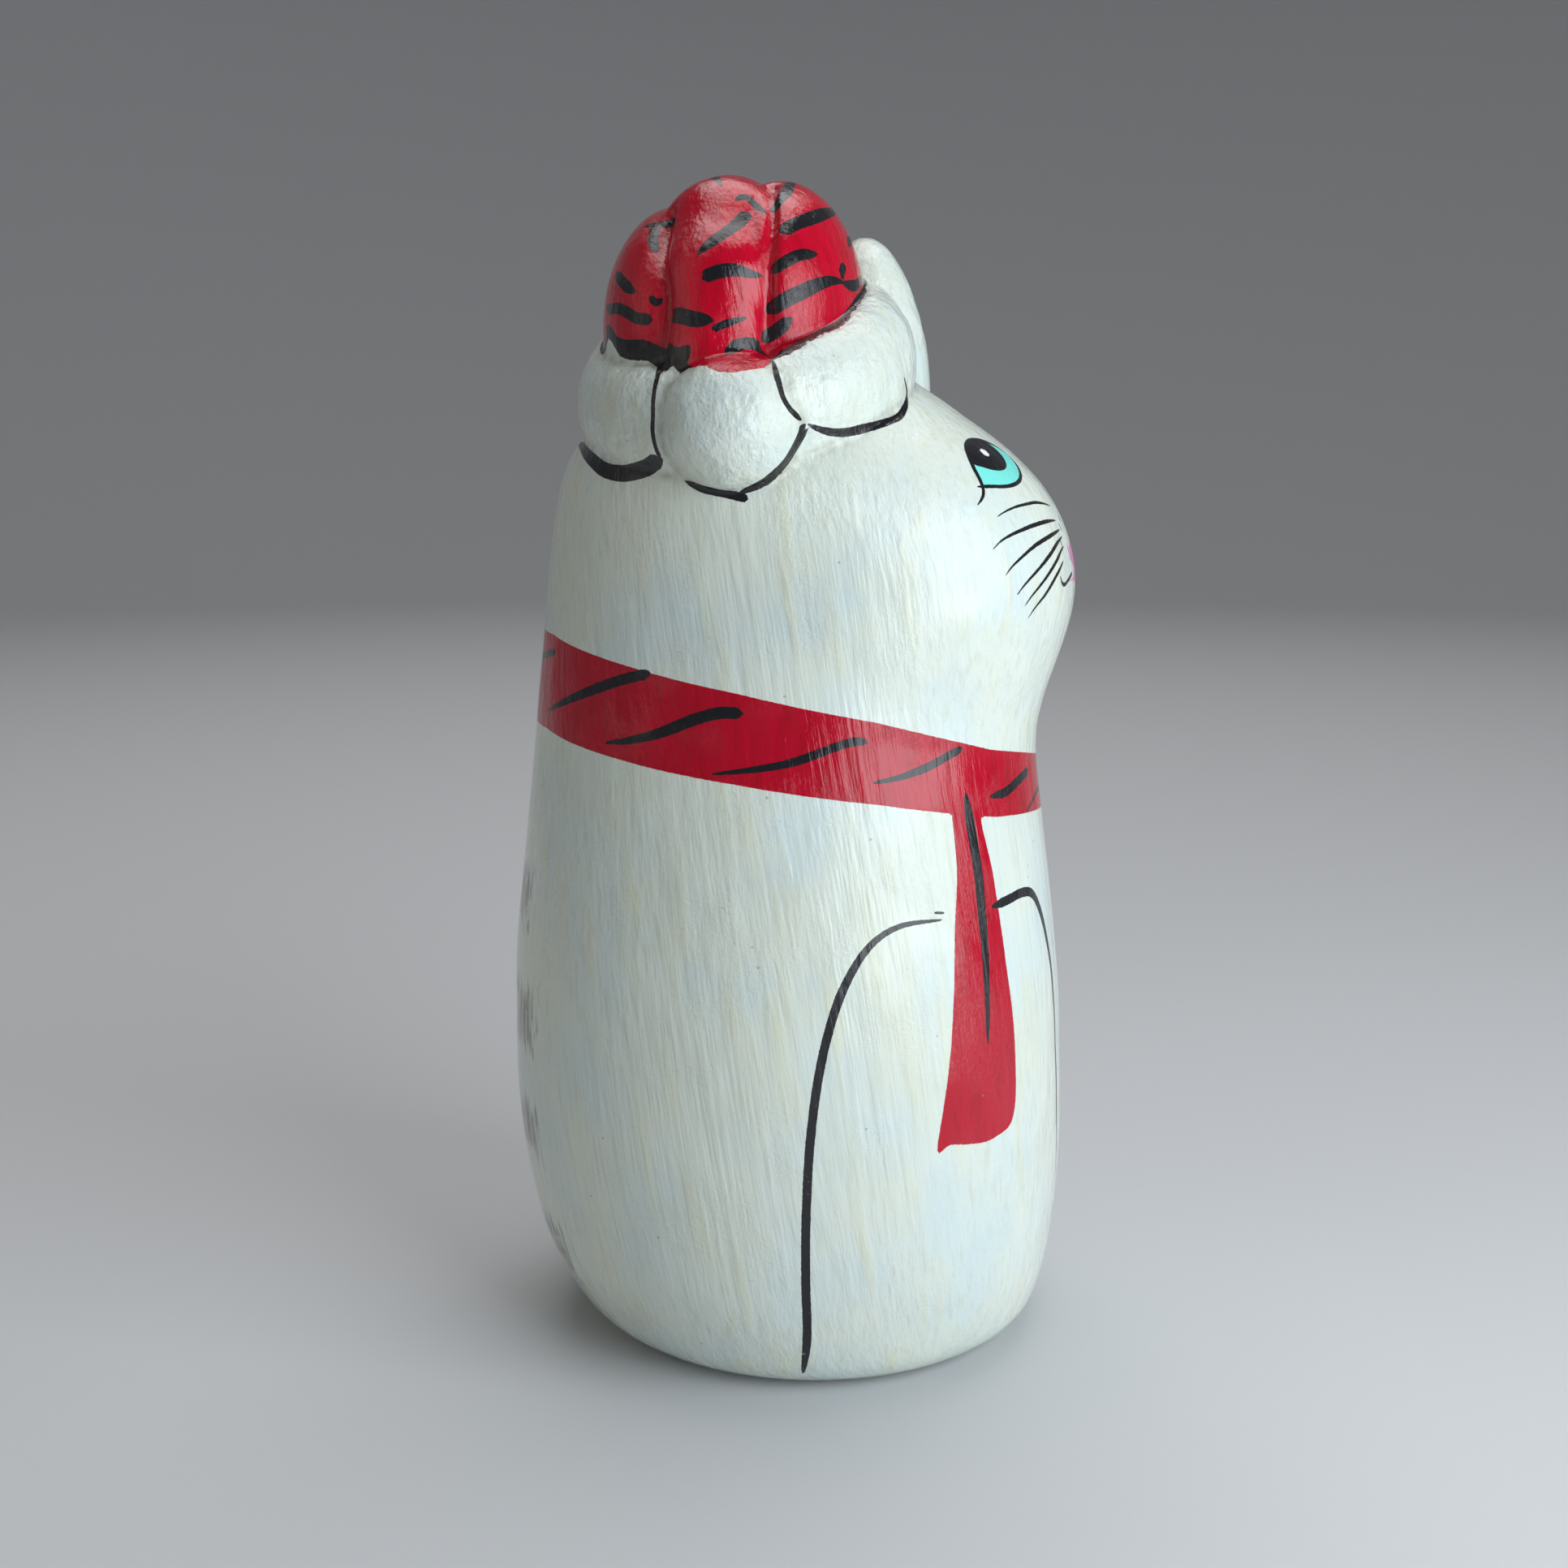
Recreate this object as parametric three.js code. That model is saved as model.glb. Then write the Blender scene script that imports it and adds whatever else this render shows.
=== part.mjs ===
// Papier-mache cat in a folded bobble hat: one moulded and closed figure, 140 mm tall.
// Millimetres. +Z is up, the cat faces -Y and its right side is -X. The origin is at the middle of the
// flat underside. The figure is worked out as one rounded form: each swelling is a simple rounded body,
// neighbours flow into each other over a named radius, and rows of points are laid on the result.
import * as THREE from "three";

// Upright body: at each height, how far it reaches to the front, to the back and to each side.
const body = [
  { height: -6, front: 25.0, back: 17.2, side: 20.0 },
  { height: 0, front: 30.4, back: 23.4, side: 25.6 },
  { height: 6, front: 33.0, back: 27.6, side: 28.8 },
  { height: 14, front: 34.4, back: 31.2, side: 31.0 },
  { height: 28, front: 34.8, back: 33.5, side: 32.2 },
  { height: 44, front: 34.1, back: 33.6, side: 32.0 },
  { height: 60, front: 32.5, back: 32.1, side: 30.6 },
  { height: 73, front: 30.8, back: 30.6, side: 28.8 },
  { height: 84, front: 31.6, back: 29.4, side: 28.0 },
  { height: 94, front: 31.0, back: 28.4, side: 27.0 },
  { height: 104, front: 24.5, back: 26.2, side: 25.0 },
  { height: 112, front: 17.0, back: 24.2, side: 22.0 },
];
const bodyTop = 110;
const shoulderRadius = 8;
const undersideRadius = 4.8;

// Head: centre and half sizes.
const skull = { at: [0, 1.4, 99.5], half: [25.2, 23.6, 23.0] };
const face = { at: [0, -11.6, 94.0], half: [24.4, 22.8, 18.4] };
const skullFlow = 5;
const faceFlow = 7;

// The bare ear stands on the cat's left. lean is its turn about X, Y and Z in degrees.
const ear = { at: [17.4, -9.3, 117.0], half: [8.8, 6.9, 17.6], lean: [-6, 5, 8] };
const earFlow = 3;

// Hat: a soft crown in two lobes, with its tail folded over the top and down the cat's right side.
const crownLean = [-4, -12, 0];
const crownCore = { at: [-4.0, 5.0, 121.0], half: [15.5, 12.0, 15.6], lean: crownLean };
const crownFront = { at: [-4.5, -1.0, 123.9], half: [16.4, 9.2, 14.4], lean: crownLean };
const crownBack = { at: [-4.5, 10.7, 120.6], half: [16.4, 9.4, 15.2], lean: crownLean };
const crownFlow = 1.5;
const foldFlow = 1.2;
const tail = [
  { at: [7.0, 8.2, 127.0], radius: 6.0 },
  { at: [3.0, 7.7, 131.5], radius: 6.4 },
  { at: [-3.0, 7.3, 133.0], radius: 6.8 },
  { at: [-9.5, 6.6, 131.0], radius: 6.9 },
  { at: [-14.8, 5.6, 125.6], radius: 6.9 },
  { at: [-18.0, 4.8, 117.0], radius: 6.9 },
];
const bobble = { at: [-23.6, 2.2, 110.8], half: [7.0, 7.9, 7.4] };

// Fur trim: two fat rolls round a tilted ring, which meet at the bobble and behind the ear.
// from and to are the angles of each roll's ends, in degrees round the ring from the cat's left.
const ring = { at: [-5.0, 3.6, 116.2], across: 18.0, deep: 14.6, lean: [-9, -20, 0] };
const trimRadial = 5.3;
const trimTall = 7.4;
const trimFront = { from: -168, to: -24 };
const trimBack = { from: 24, to: 160 };

// Rows of points, thrown out from a slanting spine. Between its ends a row is level; beyond them the
// rows tilt, down to the middle of the underside and up to the top of the crown. Each band of rows
// has its own spacing and count: the rows are closer, with more points, round the hat.
const spine = { low: [0, 1, 24], high: [-3, 3.5, 110] };
const bands = [
  { from: -90, to: -52, rows: 2, points: 24, tilted: true },
  { from: -52, to: 0, rows: 9, points: 48, tilted: true },
  { from: 24, to: 95, rows: 15, points: 48, tilted: false },
  { from: 95, to: 110, rows: 11, points: 96, tilted: false },
  { from: 0, to: 62, rows: 24, points: 96, tilted: true },
  { from: 62, to: 78, rows: 4, points: 48, tilted: true },
  { from: 78, to: 90, rows: 3, points: 24, tilted: true },
];
const farthest = 60;
const march = { steps: 70, share: 0.7, out: 2, in: 6 };
const settling = { probe: 0.05, leastSlope: 0.2, farthest: 1.5 };
const relaxing = { passes: 6, share: 0.5 };
const flatWithin = 0.04;
const upright = 89.9;

const lacqueredPaper = new THREE.MeshStandardMaterial({ color: 0xe6ebe2, roughness: 0.22, metalness: 0 });

// The nearer of two surfaces, rounded where they meet.
function join(a, b, flow) {
  const near = Math.max(flow - Math.abs(a - b), 0) / flow;
  return Math.min(a, b) - near * near * flow / 4;
}

function trimOff(a, b, flow) {
  return -join(-a, -b, flow);
}

// Smooth curve through one measure of the body's list, at height z.
function bodyReach(z, side) {
  const last = body.length - 1;
  let i = 0;
  while (i < last - 1 && z > body[i + 1].height) i += 1;
  const slope = (k) => {
    const below = body[Math.max(k - 1, 0)];
    const above = body[Math.min(k + 1, last)];
    return (above[side] - below[side]) / (above.height - below.height);
  };
  const [low, high] = [body[i], body[i + 1]];
  const step = high.height - low.height;
  const t = Math.min(Math.max((z - low.height) / step, 0), 1);
  const fromLow = (1 + 2 * t) * (1 - t) ** 2 * low[side] + t * (1 - t) ** 2 * step * slope(i);
  const fromHigh = t * t * (3 - 2 * t) * high[side] + t * t * (t - 1) * step * slope(i + 1);
  return fromLow + fromHigh;
}

function uprightBody(x, y, z) {
  const front = -bodyReach(z, "front");
  const back = bodyReach(z, "back");
  const side = bodyReach(z, "side");
  const deep = (back - front) / 2;
  const out = Math.hypot(x / side, (y - (front + back) / 2) / deep) - 1;
  return trimOff(out * Math.min(side, deep), z - bodyTop, shoulderRadius);
}

// Turns a form's lean into three axes, once for each form.
function axesOf(form) {
  const [a, b, c] = (form.lean ?? [0, 0, 0]).map(THREE.MathUtils.degToRad);
  const turn = new THREE.Matrix4().makeRotationX(a);
  turn.multiply(new THREE.Matrix4().makeRotationY(b)).multiply(new THREE.Matrix4().makeRotationZ(c));
  const axes = [new THREE.Vector3(), new THREE.Vector3(), new THREE.Vector3()];
  turn.extractBasis(...axes);
  return axes.map((axis) => axis.toArray());
}

for (const form of [skull, face, ear, crownCore, crownFront, crownBack, bobble, ring]) {
  form.axes = axesOf(form);
}

// A point in a form's own directions, measured from its centre.
function local(form, x, y, z) {
  const [dx, dy, dz] = [x - form.at[0], y - form.at[1], z - form.at[2]];
  return form.axes.map((axis) => dx * axis[0] + dy * axis[1] + dz * axis[2]);
}

// Distance to a swelling with three half sizes, close to true near its surface.
function swelling(along, half) {
  const k = Math.hypot(along[0] / half[0], along[1] / half[1], along[2] / half[2]);
  const g = Math.hypot(along[0] / half[0] ** 2, along[1] / half[1] ** 2, along[2] / half[2] ** 2);
  return k * (k - 1) / (g + 1e-9);
}

function rounded(form, x, y, z) {
  return swelling(local(form, x, y, z), form.half);
}

function foldedTail(x, y, z) {
  let nearest = farthest;
  for (let i = 0; i < tail.length - 1; i += 1) {
    const [a, b] = [tail[i], tail[i + 1]];
    const run = b.at.map((v, k) => v - a.at[k]);
    const from = [x - a.at[0], y - a.at[1], z - a.at[2]];
    const dot = from[0] * run[0] + from[1] * run[1] + from[2] * run[2];
    const t = Math.min(Math.max(dot / (run[0] ** 2 + run[1] ** 2 + run[2] ** 2), 0), 1);
    const off = Math.hypot(from[0] - t * run[0], from[1] - t * run[1], from[2] - t * run[2]);
    nearest = join(nearest, off - a.radius - (b.radius - a.radius) * t, foldFlow);
  }
  return nearest;
}

// One roll of the trim: an arc of the ring with a tall oval section and round ends.
function trimRoll(roll, x, y, z) {
  const [u, v, w] = local(ring, x, y, z);
  const middle = THREE.MathUtils.degToRad((roll.from + roll.to) / 2);
  const reach = THREE.MathUtils.degToRad((roll.to - roll.from) / 2);
  const angle = Math.atan2(v / ring.deep, u / ring.across) - middle;
  const wrapped = Math.atan2(Math.sin(angle), Math.cos(angle));
  const at = middle + Math.min(Math.max(wrapped, -reach), reach);
  const [du, dv] = [u - ring.across * Math.cos(at), v - ring.deep * Math.sin(at)];
  const [nu, nv] = [Math.cos(at) * ring.deep, Math.sin(at) * ring.across];
  const size = Math.hypot(nu, nv);
  const radial = (du * nu + dv * nv) / size;
  const around = (dv * nu - du * nv) / size;
  return swelling([radial, around, w], [trimRadial, trimTall, trimTall]);
}

function hat(x, y, z) {
  const core = rounded(crownCore, x, y, z);
  const front = join(rounded(crownFront, x, y, z), core, crownFlow);
  const back = join(rounded(crownBack, x, y, z), core, crownFlow);
  let f = join(front, back, foldFlow);
  f = join(f, foldedTail(x, y, z), foldFlow);
  f = join(f, trimRoll(trimFront, x, y, z), foldFlow);
  f = join(f, trimRoll(trimBack, x, y, z), foldFlow);
  return join(f, rounded(bobble, x, y, z), foldFlow);
}

// Negative inside the whole figure, zero on its surface, about the distance outside it.
function figure(x, y, z) {
  let f = join(uprightBody(x, y, z), rounded(skull, x, y, z), skullFlow);
  f = join(f, rounded(face, x, y, z), faceFlow);
  f = join(f, rounded(ear, x, y, z), earFlow);
  f = join(f, hat(x, y, z), foldFlow);
  return trimOff(f, -z, undersideRadius);
}

// The point where a line from the spine leaves the figure.
function thrownOut(foot, way) {
  let out = farthest;
  for (let i = 0; i < march.steps; i += 1) {
    const p = foot.clone().addScaledVector(way, out);
    out -= THREE.MathUtils.clamp(march.share * figure(p.x, p.y, p.z), -march.out, march.in);
  }
  return foot.clone().addScaledVector(way, out);
}

// One row's points, in order round the figure. A row that points straight up or down is one point.
function rowOfPoints(foot, tilt, count) {
  return Array.from({ length: Math.abs(tilt) > upright ? 1 : count }, (_, i) => {
    const round = 2 * Math.PI * i / count;
    const level = Math.cos(THREE.MathUtils.degToRad(tilt));
    const rise = Math.sin(THREE.MathUtils.degToRad(tilt));
    return thrownOut(foot, new THREE.Vector3(level * Math.cos(round), level * Math.sin(round), rise));
  });
}

function allRows() {
  const [low, high] = [new THREE.Vector3(...spine.low), new THREE.Vector3(...spine.high)];
  const list = [];
  for (const band of bands) {
    const last = band === bands[bands.length - 1] ? band.rows : band.rows - 1;
    for (let k = 0; k <= last; k += 1) {
      const value = band.from + (band.to - band.from) * k / band.rows;
      const share = band.tilted ? Number(value >= 0) : (value - low.z) / (high.z - low.z);
      list.push(rowOfPoints(low.clone().lerp(high, share), band.tilted ? value : 0, band.points));
    }
  }
  return list;
}

// Moves a point straight onto the surface.
function settle(p) {
  const e = settling.probe;
  const f = figure(p.x, p.y, p.z);
  const slope = new THREE.Vector3(
    figure(p.x + e, p.y, p.z) - figure(p.x - e, p.y, p.z),
    figure(p.x, p.y + e, p.z) - figure(p.x, p.y - e, p.z),
    figure(p.x, p.y, p.z + e) - figure(p.x, p.y, p.z - e),
  ).divideScalar(2 * e);
  const step = f / Math.max(slope.lengthSq(), settling.leastSlope);
  return p.addScaledVector(slope, -THREE.MathUtils.clamp(step, -settling.farthest, settling.farthest));
}

// Four-sided and three-sided cells between one row's numbers and the next row's above it.
// A row may have as many points as the other, twice or half as many, or a single one.
function cellsBetween(low, high) {
  const count = Math.max(low.length, high.length);
  const pick = (row, i) => row[Math.floor((i % count) * row.length / count)];
  return Array.from({ length: count }, (_, i) => {
    const around = [pick(low, i), pick(low, i + 1), pick(high, i + 1), pick(high, i)];
    return around.filter((v, k) => v !== around[(k + 1) % 4]);
  });
}

function neighboursOf(cells, count) {
  const lists = Array.from({ length: count }, () => new Set());
  for (const cell of cells) {
    cell.forEach((v, k) => {
      const next = cell[(k + 1) % cell.length];
      lists[v].add(next);
      lists[next].add(v);
    });
  }
  return lists.map((set) => [...set]);
}

// Evens out the spacing along the surface, then settles every point on it again.
function relax(points, neighbours) {
  const even = points.map((p, i) => {
    const mean = new THREE.Vector3();
    for (const k of neighbours[i]) mean.add(points[k]);
    return p.clone().lerp(mean.divideScalar(neighbours[i].length), relaxing.share);
  });
  return even.map((p) => settle(settle(p)));
}

// Splits a cell along the diagonal whose middle lies nearer the surface, so that folds stay clean.
function split(cell, points) {
  if (cell.length < 4) return cell;
  const [a, b, c, d] = cell;
  const off = (i, k) => {
    const middle = points[i].clone().lerp(points[k], 0.5);
    return Math.abs(figure(middle.x, middle.y, middle.z));
  };
  return off(a, c) < off(b, d) ? [a, b, c, a, c, d] : [a, b, d, b, c, d];
}

function figureGeometry() {
  const rows = allRows();
  let points = rows.flat();
  let used = 0;
  const numbered = rows.map((row) => row.map(() => used++));
  const cells = numbered.slice(1).flatMap((row, i) => cellsBetween(numbered[i], row));
  const neighbours = neighboursOf(cells, points.length);
  for (let pass = 0; pass < relaxing.passes; pass += 1) points = relax(points, neighbours);
  points = points.map((p) => settle(settle(p)));
  for (const p of points) p.z = p.z < flatWithin ? 0 : p.z;
  const geometry = new THREE.BufferGeometry().setFromPoints(points);
  geometry.setIndex(cells.flatMap((cell) => split(cell, points)));
  geometry.computeVertexNormals();
  return geometry;
}

const cat = new THREE.Mesh(figureGeometry(), lacqueredPaper);
cat.name = "papier_mache_cat";

const model = new THREE.Group();
model.add(cat);

export default model;
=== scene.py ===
"""Papier-mache cat in a folded bobble hat: one moulded figure, painted by hand and lacquered.

The form is worked out in millimetres, in the frame's own axes: +Z up, the cat faces -Y and its right
side is -X. It is the same rounded form as the solid's, laid out with many more points. The paint is
held as numbers on those points, such as how far each one is from the middle of a brush stroke, and
the material turns them into crisp edges.
"""
import math
import bpy
import numpy as np
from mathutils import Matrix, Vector, noise


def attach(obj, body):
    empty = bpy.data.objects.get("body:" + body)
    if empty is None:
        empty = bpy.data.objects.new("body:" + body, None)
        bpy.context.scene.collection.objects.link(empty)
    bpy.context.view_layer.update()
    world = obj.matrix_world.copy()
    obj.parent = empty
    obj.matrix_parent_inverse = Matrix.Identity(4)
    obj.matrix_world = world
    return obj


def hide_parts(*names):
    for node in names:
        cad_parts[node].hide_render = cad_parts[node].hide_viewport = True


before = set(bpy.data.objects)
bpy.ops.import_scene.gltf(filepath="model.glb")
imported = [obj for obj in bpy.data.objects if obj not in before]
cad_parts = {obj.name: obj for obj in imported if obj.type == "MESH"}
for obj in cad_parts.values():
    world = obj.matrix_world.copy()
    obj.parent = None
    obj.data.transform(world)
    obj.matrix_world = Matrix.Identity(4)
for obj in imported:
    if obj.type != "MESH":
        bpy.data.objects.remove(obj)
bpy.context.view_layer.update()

MM = 0.001

# Camera: what the photograph's outline gives. The picture is 1932 pixels wide.
PHOTO_PX = 1932
FOCAL_PX = 2300
CAMERA_OUT = 227.8
CAMERA_UP = 108.7
CAMERA_TO_FRONT = math.radians(8.0)
CAMERA_DOWN = math.radians(10.3)
SENSOR_MM = 36.0

# Upright body: height, reach to the front, to the back and to each side.
BODY = np.array([
    (-6, 25.0, 17.2, 20.0),
    (0, 30.4, 23.4, 25.6),
    (6, 33.0, 27.6, 28.8),
    (14, 34.4, 31.2, 31.0),
    (28, 34.8, 33.5, 32.2),
    (44, 34.1, 33.6, 32.0),
    (60, 32.5, 32.1, 30.6),
    (73, 30.8, 30.6, 28.8),
    (84, 31.6, 29.4, 28.0),
    (94, 31.0, 28.4, 27.0),
    (104, 24.5, 26.2, 25.0),
    (112, 17.0, 24.2, 22.0),
])
BODY_TOP = 110
SHOULDER_RADIUS = 8
UNDERSIDE_RADIUS = 4.8

# Swellings: centre, half sizes, and lean about X, Y and Z in degrees.
SKULL = ((0, 1.4, 99.5), (25.2, 23.6, 23.0), (0, 0, 0))
FACE = ((0, -11.6, 94.0), (24.4, 22.8, 18.4), (0, 0, 0))
EAR = ((17.4, -9.3, 117.0), (8.8, 6.9, 17.6), (-6, 5, 8))
CROWN_LEAN = (-4, -12, 0)
CROWN_CORE = ((-4.0, 5.0, 121.0), (15.5, 12.0, 15.6), CROWN_LEAN)
CROWN_FRONT = ((-4.5, -1.0, 123.9), (16.4, 9.2, 14.4), CROWN_LEAN)
CROWN_BACK = ((-4.5, 10.7, 120.6), (16.4, 9.4, 15.2), CROWN_LEAN)
BOBBLE = ((-23.6, 2.2, 110.8), (7.0, 7.9, 7.4), (0, 0, 0))
SKULL_FLOW = 5
FACE_FLOW = 7
EAR_FLOW = 3
CROWN_FLOW = 1.5
FOLD_FLOW = 0.7

# The hat's folded tail: points along its middle and its radius there.
TAIL = np.array([
    (7.0, 8.2, 126.0, 6.0),
    (3.0, 6.8, 129.8, 6.6),
    (-3.0, 6.0, 131.8, 7.4),
    (-9.5, 5.4, 130.5, 7.7),
    (-14.8, 5.0, 125.4, 7.5),
    (-18.0, 4.7, 117.0, 7.0),
])

# Fur trim: two fat rolls round a tilted ring. Angles run round the ring from the cat's left.
RING = ((-5.0, 3.6, 116.2), (18.0, 14.6), (-9, -20, 0))
TRIM_HALF = (5.3, 7.4, 7.4)
TRIM_FRONT = (-168, -24)
TRIM_BACK = (24, 160)

# Rows of points thrown out from a slanting spine: first and last level or tilt, rows, points a row.
SPINE_LOW = np.array((0, 1, 24.0))
SPINE_HIGH = np.array((-3, 3.5, 110.0))
BANDS = (
    ("tilt", -90, -52, 3, 24),
    ("tilt", -52, -36, 3, 48),
    ("tilt", -36, 0, 6, 96),
    ("level", 24, 95, 26, 96),
    ("level", 95, 110, 8, 96),
    ("tilt", 0, 62, 17, 96),
    ("tilt", 62, 78, 4, 48),
    ("tilt", 78, 90, 3, 24),
)
FARTHEST = 60
MARCH_STEPS = 70
COARSE_PASSES = 10
FINE_PASSES = (3, 1)


def join(a, b, flow):
    """The nearer of two surfaces, rounded where they meet."""
    near = np.maximum(flow - np.abs(a - b), 0) / flow
    return np.minimum(a, b) - near * near * flow / 4


def trim_off(a, b, flow):
    return -join(-a, -b, flow)


def body_reach(z, column):
    """Smooth curve through one measure of the body's list."""
    heights, reach = BODY[:, 0], BODY[:, column]
    order = np.arange(len(BODY))
    below, above = np.maximum(order - 1, 0), np.minimum(order + 1, len(BODY) - 1)
    slope = (reach[above] - reach[below]) / (heights[above] - heights[below])
    i = np.clip(np.searchsorted(heights, z) - 1, 0, len(BODY) - 2)
    step = heights[i + 1] - heights[i]
    t = np.clip((z - heights[i]) / step, 0, 1)
    from_low = (1 + 2 * t) * (1 - t) ** 2 * reach[i] + t * (1 - t) ** 2 * step * slope[i]
    from_high = t * t * (3 - 2 * t) * reach[i + 1] + t * t * (t - 1) * step * slope[i + 1]
    return from_low + from_high


def upright_body(p):
    front, back, side = -body_reach(p[:, 2], 1), body_reach(p[:, 2], 2), body_reach(p[:, 2], 3)
    deep = (back - front) / 2
    out = np.hypot(p[:, 0] / side, (p[:, 1] - (front + back) / 2) / deep) - 1
    return trim_off(out * np.minimum(side, deep), p[:, 2] - BODY_TOP, SHOULDER_RADIUS)


def axes_of(lean):
    """Columns are a form's own directions."""
    a, b, c = np.radians(lean)
    about_x = np.array([[1, 0, 0], [0, np.cos(a), -np.sin(a)], [0, np.sin(a), np.cos(a)]])
    about_y = np.array([[np.cos(b), 0, np.sin(b)], [0, 1, 0], [-np.sin(b), 0, np.cos(b)]])
    about_z = np.array([[np.cos(c), -np.sin(c), 0], [np.sin(c), np.cos(c), 0], [0, 0, 1]])
    return about_x @ about_y @ about_z


def swelling(along, half):
    """Distance to a swelling with three half sizes, close to true near its surface."""
    k = np.linalg.norm(along / half, axis=1)
    g = np.linalg.norm(along / np.square(half), axis=1)
    return k * (k - 1) / (g + 1e-9)


def rounded(form, p):
    centre, half, lean = form
    return swelling((p - centre) @ axes_of(lean), np.array(half))


def folded_tail(p):
    nearest = np.full(len(p), float(FARTHEST))
    for a, b in zip(TAIL[:-1], TAIL[1:]):
        run = b[:3] - a[:3]
        t = np.clip((p - a[:3]) @ run / (run @ run), 0, 1)
        off = np.linalg.norm(p - a[:3] - t[:, None] * run, axis=1)
        nearest = join(nearest, off - a[3] - (b[3] - a[3]) * t, FOLD_FLOW)
    return nearest


def trim_roll(span, p):
    """One roll of the trim: an arc of the ring with a tall oval section and round ends."""
    centre, (across, deep), lean = RING
    u, v, w = ((p - centre) @ axes_of(lean)).T
    middle, reach = np.radians(sum(span) / 2), np.radians((span[1] - span[0]) / 2)
    angle = np.arctan2(v / deep, u / across) - middle
    at = middle + np.clip(np.arctan2(np.sin(angle), np.cos(angle)), -reach, reach)
    du, dv = u - across * np.cos(at), v - deep * np.sin(at)
    nu, nv = np.cos(at) * deep, np.sin(at) * across
    size = np.hypot(nu, nv)
    along = np.stack([(du * nu + dv * nv) / size, (dv * nu - du * nv) / size, w], 1)
    return swelling(along, np.array(TRIM_HALF))


def crown(p):
    core = rounded(CROWN_CORE, p)
    front = join(rounded(CROWN_FRONT, p), core, CROWN_FLOW)
    back = join(rounded(CROWN_BACK, p), core, CROWN_FLOW)
    return join(join(front, back, FOLD_FLOW), folded_tail(p), FOLD_FLOW)


def trim(p):
    rolls = join(trim_roll(TRIM_FRONT, p), trim_roll(TRIM_BACK, p), FOLD_FLOW)
    return join(rolls, rounded(BOBBLE, p), FOLD_FLOW)


def head_and_body(p):
    f = join(upright_body(p), rounded(SKULL, p), SKULL_FLOW)
    return join(f, rounded(FACE, p), FACE_FLOW)


def figure(p):
    """Negative inside the whole figure, zero on its surface, about the distance outside it."""
    f = join(head_and_body(p), rounded(EAR, p), EAR_FLOW)
    f = join(f, join(crown(p), trim(p), FOLD_FLOW), FOLD_FLOW)
    return trim_off(f, -p[:, 2], UNDERSIDE_RADIUS)


def thrown_out(foot, way):
    """Where lines from foot along way leave the figure."""
    out = np.full(len(foot), float(FARTHEST))
    for _ in range(MARCH_STEPS):
        out -= np.clip(0.7 * figure(foot + out[:, None] * way), -2, 6)
    return foot + out[:, None] * way


def slope_of(p):
    e = 0.05
    steps = e * np.eye(3)
    return np.stack([figure(p + s) - figure(p - s) for s in steps], 1) / (2 * e)


def settle(p):
    """Moves points straight onto the surface."""
    slope = slope_of(p)
    step = figure(p) / np.maximum((slope * slope).sum(1), 0.2)
    return p - slope * np.clip(step, -1.5, 1.5)[:, None]


def rows_of_points():
    rows = []
    for kind, first, last, count, points in BANDS:
        ends = count + 1 if last == 90 else count
        for k in range(ends):
            value = first + (last - first) * k / count
            tilt = math.radians(value if kind == "tilt" else 0)
            if kind == "tilt":
                share = float(value >= 0)
            else:
                share = (value - SPINE_LOW[2]) / (SPINE_HIGH[2] - SPINE_LOW[2])
            single = abs(math.cos(tilt)) < 1e-6
            turn = 2 * np.pi * np.arange(1 if single else points) / points
            level = math.cos(tilt)
            rise = np.full(len(turn), math.sin(tilt))
            way = np.stack([level * np.cos(turn), level * np.sin(turn), rise], 1)
            foot = SPINE_LOW + (SPINE_HIGH - SPINE_LOW) * share
            rows.append(thrown_out(np.tile(foot, (len(turn), 1)), way))
    return rows


def triangles_between(low, high):
    """Triangles between the numbers of one row and those of the next row above it."""
    count = max(len(low), len(high))
    low, high = (row[(np.arange(count + 1) % count) * len(row) // count] for row in (low, high))
    a, b, c, d = low[:-1], low[1:], high[1:], high[:-1]
    made = np.concatenate([np.stack([a, b, c], 1), np.stack([a, c, d], 1)])
    return made[(made[:, 0] != made[:, 1]) & (made[:, 1] != made[:, 2]) & (made[:, 0] != made[:, 2])]


def edges_of(triangles):
    """Each edge once, and for every triangle the numbers of its three edges."""
    pairs = np.sort(triangles[:, [0, 1, 1, 2, 2, 0]].reshape(-1, 2), axis=1)
    edges, which = np.unique(pairs, axis=0, return_inverse=True)
    return edges, which.reshape(-1, 3)


def relax(p, edges, passes):
    """Evens out the spacing along the surface."""
    count = np.bincount(edges.ravel(), minlength=len(p))[:, None]
    for _ in range(passes):
        total = np.zeros_like(p)
        np.add.at(total, edges[:, 0], p[edges[:, 1]])
        np.add.at(total, edges[:, 1], p[edges[:, 0]])
        p = settle(settle((p + total / count) / 2))
    return p


def halve(p, triangles):
    """Splits every triangle into four, with the new points settled on the surface."""
    edges, which = edges_of(triangles)
    new = settle(settle((p[edges[:, 0]] + p[edges[:, 1]]) / 2))
    ab, bc, ca = (which + len(p)).T
    a, b, c = triangles.T
    four = [(a, ab, ca), (ab, b, bc), (ca, bc, c), (ab, bc, ca)]
    return np.concatenate([p, new]), np.concatenate([np.stack(t, 1) for t in four])


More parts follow.
